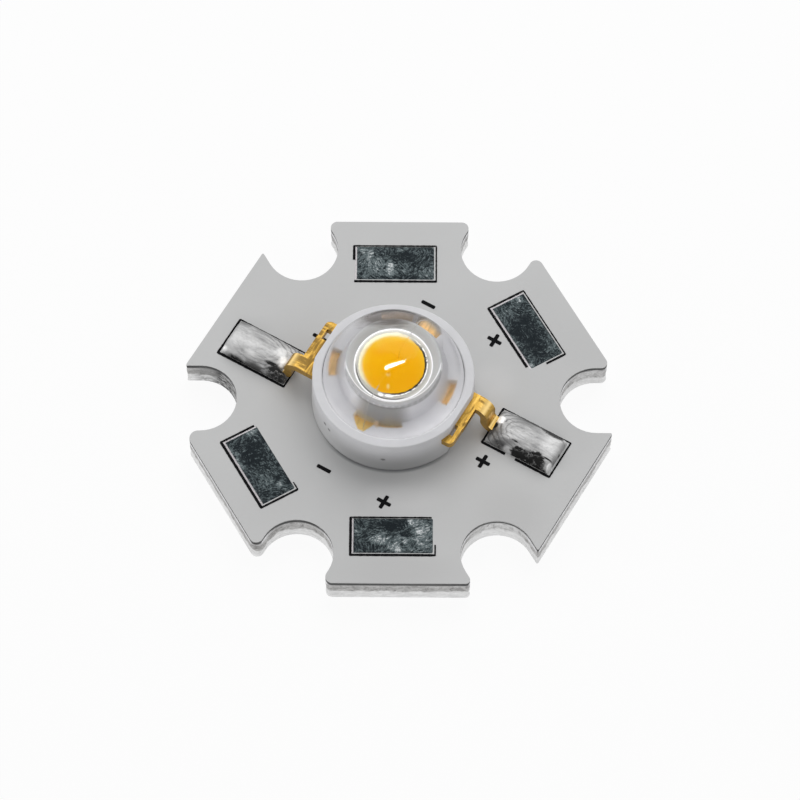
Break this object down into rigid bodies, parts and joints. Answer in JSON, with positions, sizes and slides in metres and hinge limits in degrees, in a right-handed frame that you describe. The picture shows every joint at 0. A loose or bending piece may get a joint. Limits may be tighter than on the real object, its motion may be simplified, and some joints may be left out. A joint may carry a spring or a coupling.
{
  "type": "star pcb power led",
  "caption": "High power LED with a clear dome lens and gold leads, soldered to a white star-shaped metal-core board with screw slots and tinned pads.",
  "frame": {"origin": "centre of the board's outline, on its underside", "axes": "+Z the way the light leaves, +X towards the middle of one screw slot"},
  "size_m": [0.021, 0.02, 0.0069],
  "materials": {
    "core_metal": "punched edges, rolled faces",
    "dielectric": "dull dark resin edge",
    "copper": "bare rolled copper",
    "white_mask": "satin white solder mask",
    "black_print": "matt black print",
    "tin": "uneven hot tin coat",
    "solder": "bright flowed solder",
    "paste": "thermal paste",
    "silvered_copper": "silver plated",
    "moulded_plastic": "smooth white moulding",
    "gold_plate": "gold plated, lightly brushed",
    "die_bond": "silver filled adhesive",
    "chip": "polished crystal",
    "phosphor": "yellow phosphor resin",
    "clear_gel": "clear gel",
    "clear_lens": "clear moulded lens"
  },
  "bodies": {
    "root": {"aluminium_core": "core_metal", "dielectric_layer": "dielectric", "anode_copper": "copper", "cathode_copper": "copper", "thermal_copper": "copper", "solder_mask": "white_mask", "pad_outlines": "black_print", "tin_pad_top": "tin", "tin_pad_upper_right": "tin", "tin_pad_bottom": "tin", "tin_pad_lower_left": "tin", "solder_joint_anode": "solder", "solder_joint_cathode": "solder", "thermal_paste": "paste", "heat_slug": "silvered_copper", "package_body": "moulded_plastic", "anode_lead": "gold_plate", "cathode_lead": "gold_plate", "die_attach": "die_bond", "led_chip": "chip", "anode_wire": "gold_plate", "cathode_wire": "gold_plate", "phosphor_fill": "phosphor", "silicone_gel": "clear_gel", "lens": "clear_lens"}
  },
  "joints": []
}
